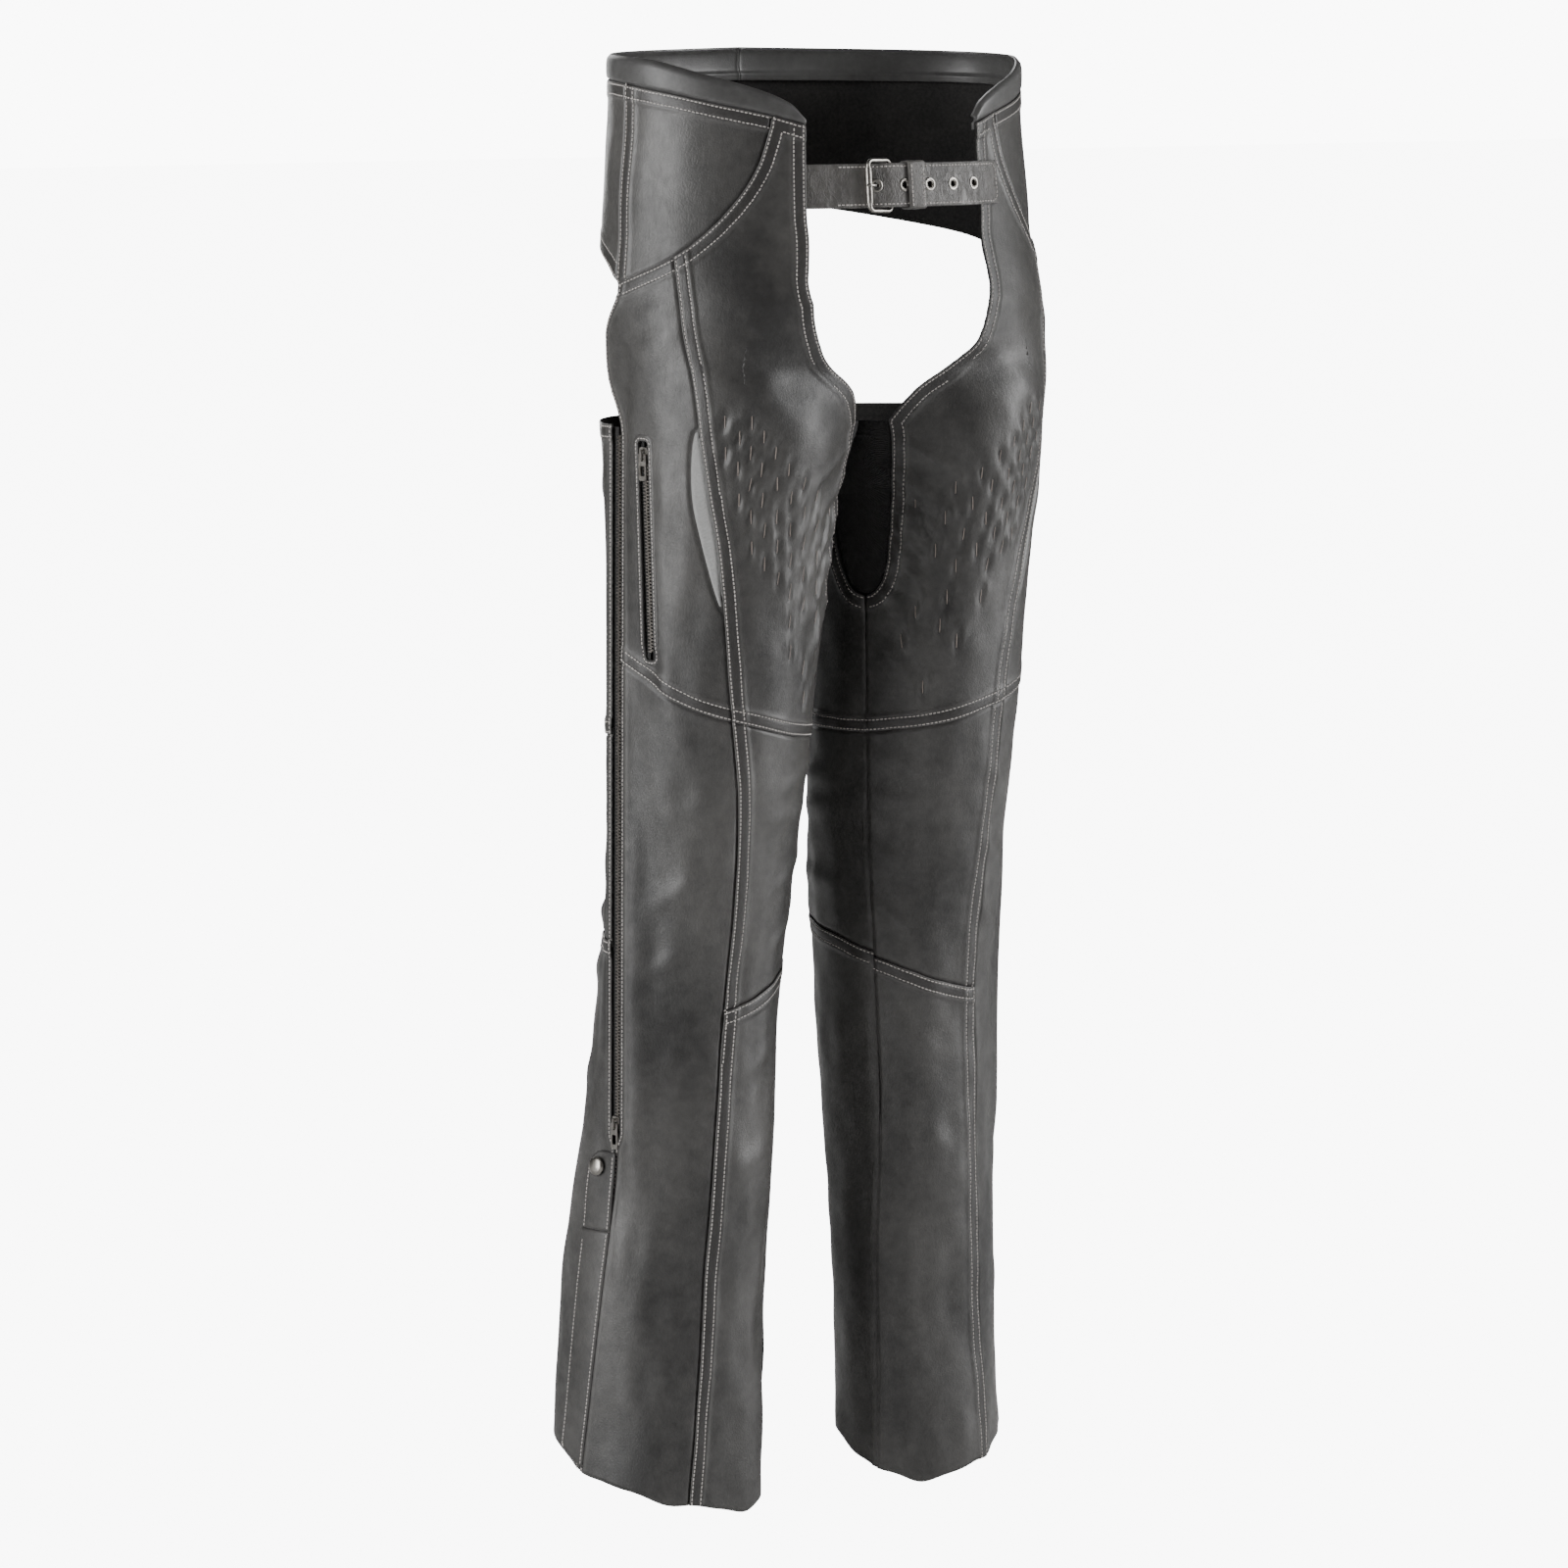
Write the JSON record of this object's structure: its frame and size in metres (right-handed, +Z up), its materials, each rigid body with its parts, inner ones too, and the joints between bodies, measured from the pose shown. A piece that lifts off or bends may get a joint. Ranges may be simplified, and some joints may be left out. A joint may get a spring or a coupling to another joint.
{
  "type": "leather riding chaps",
  "caption": "Pair of full-length leather chaps with side zips, a thigh pocket, a buckled front strap, open seat and snap flaps at the ankles.",
  "frame": {"origin": "middle of the waist ring, at the height of the front strap", "axes": "+Z up; the wearer faces -Y; the wearer's right leg lies at -X"},
  "size_m": [0.387, 0.2347, 1.0934],
  "materials": {
    "leather": "grained garment leather",
    "band": "smooth rolled leather",
    "inset": "light grey stretch fabric",
    "stretch": "black stretch fabric",
    "tape": "woven zip tape",
    "metal": "antique nickel"
  },
  "bodies": {
    "chaps": {"waistband_right": "band", "back_yoke_right": "leather", "hip_yoke_right": "leather", "front_thigh_panel_right": "leather", "side_thigh_panel_right": "leather", "stretch_inset_right": "inset", "thigh_gusset_right": "stretch", "knee_panel_right": "leather", "shin_panel_right": "leather", "side_leg_panel_right": "leather", "back_thigh_panel_right": "leather", "back_knee_panel_right": "leather", "back_calf_panel_right": "leather", "thigh_lining_right": "stretch", "side_zip_tape_right": "tape", "side_zip_teeth_right": "metal", "flap_strip_right": "leather", "snap_stud_right": "metal", "waistband_left": "band", "back_yoke_left": "leather", "hip_yoke_left": "leather", "front_thigh_panel_left": "leather", "side_thigh_panel_left": "leather", "stretch_inset_left": "inset", "thigh_gusset_left": "stretch", "knee_panel_left": "leather", "shin_panel_left": "leather", "side_leg_panel_left": "leather", "back_thigh_panel_left": "leather", "back_knee_panel_left": "leather", "back_calf_panel_left": "leather", "thigh_lining_left": "stretch", "side_zip_tape_left": "tape", "side_zip_teeth_left": "metal", "flap_strip_left": "leather", "snap_stud_left": "metal", "pocket_zip_tape_right": "tape", "pocket_zip_teeth_right": "metal", "pocket_bag_right": "stretch", "belt_strap": "leather", "buckle_strap": "leather", "belt_eyelet_1": "metal", "belt_eyelet_2": "metal", "belt_eyelet_3": "metal", "belt_eyelet_4": "metal", "belt_eyelet_5": "metal"},
    "side_slider_right": {"side_zip_slider_right": "metal"},
    "side_pull_right": {"side_zip_pull_right": "metal"},
    "ankle_tab_right": {"flap_tab_right": "leather", "snap_cap_right": "metal"},
    "side_slider_left": {"side_zip_slider_left": "metal"},
    "side_pull_left": {"side_zip_pull_left": "metal"},
    "ankle_tab_left": {"flap_tab_left": "leather", "snap_cap_left": "metal"},
    "pocket_slider": {"pocket_zip_slider_right": "metal"},
    "pocket_pull": {"pocket_zip_pull_right": "metal"},
    "buckle": {"buckle_frame": "metal"},
    "roller": {"buckle_roller": "metal"},
    "prong": {"buckle_prong": "metal"},
    "keeper": {"belt_keeper": "leather"}
  },
  "joints": [
    {"name": "side_zip_slide_right", "type": "slide", "parent": "chaps", "child": "side_slider_right", "axis": [-0.0068, -0.0221, 0.9997], "range_m": [0, 0.508], "deforming": ["side_zip_teeth_right"]},
    {"name": "side_zip_pull_swing_right", "type": "hinge", "parent": "side_slider_right", "child": "side_pull_right", "pos_m": [-0.17113, 0.01293, -0.69876], "axis": [-0.1262, 0.9918, 0.021], "range_deg": [0, 165]},
    {"name": "ankle_tab_hinge_right", "type": "hinge", "parent": "chaps", "child": "ankle_tab_right", "pos_m": [-0.17479, 0.01533, -0.75081], "axis": [0.0876, -0.054, 0.9947], "range_deg": [0, 95]},
    {"name": "side_zip_slide_left", "type": "slide", "parent": "chaps", "child": "side_slider_left", "axis": [0.0068, -0.0221, 0.9997], "range_m": [0, 0.508], "deforming": ["side_zip_teeth_left"]},
    {"name": "side_zip_pull_swing_left", "type": "hinge", "parent": "side_slider_left", "child": "side_pull_left", "pos_m": [0.17113, 0.01293, -0.69876], "axis": [-0.1262, -0.9918, -0.021], "range_deg": [0, 165]},
    {"name": "ankle_tab_hinge_left", "type": "hinge", "parent": "chaps", "child": "ankle_tab_left", "pos_m": [0.17479, 0.01533, -0.75081], "axis": [0.0876, 0.054, -0.9947], "range_deg": [0, 95]},
    {"name": "pocket_zip_slide", "type": "slide", "parent": "chaps", "child": "pocket_slider", "axis": [0.0548, 0.037, -0.9978], "range_m": [0, 0.142], "deforming": ["pocket_zip_teeth_right"]},
    {"name": "pocket_zip_pull_swing", "type": "hinge", "parent": "pocket_slider", "child": "pocket_pull", "pos_m": [-0.17407, -0.03424, -0.19479], "axis": [-0.2364, 0.9714, 0.023], "range_deg": [0, 165]},
    {"name": "buckle_hinge", "type": "hinge", "parent": "chaps", "child": "buckle", "pos_m": [-0.00791, -0.11078, -0.00031], "axis": [0.0045, 0.1019, 0.9948], "range_deg": [0, 1]},
    {"name": "roller_spin", "type": "hinge", "parent": "buckle", "child": "roller", "pos_m": [-0.02978, -0.11535, 0.00032], "axis": [0.0045, 0.1019, 0.9948], "continuous": true},
    {"name": "prong_hinge", "type": "hinge", "parent": "buckle", "child": "prong", "pos_m": [-0.00791, -0.11078, -0.00031], "axis": [0.0045, 0.1019, 0.9948], "range_deg": [0, 1]},
    {"name": "keeper_slide", "type": "slide", "parent": "chaps", "child": "keeper", "axis": [0.9993, 0.0378, 0.0017], "range_m": [-0.003, 0.003]}
  ]
}
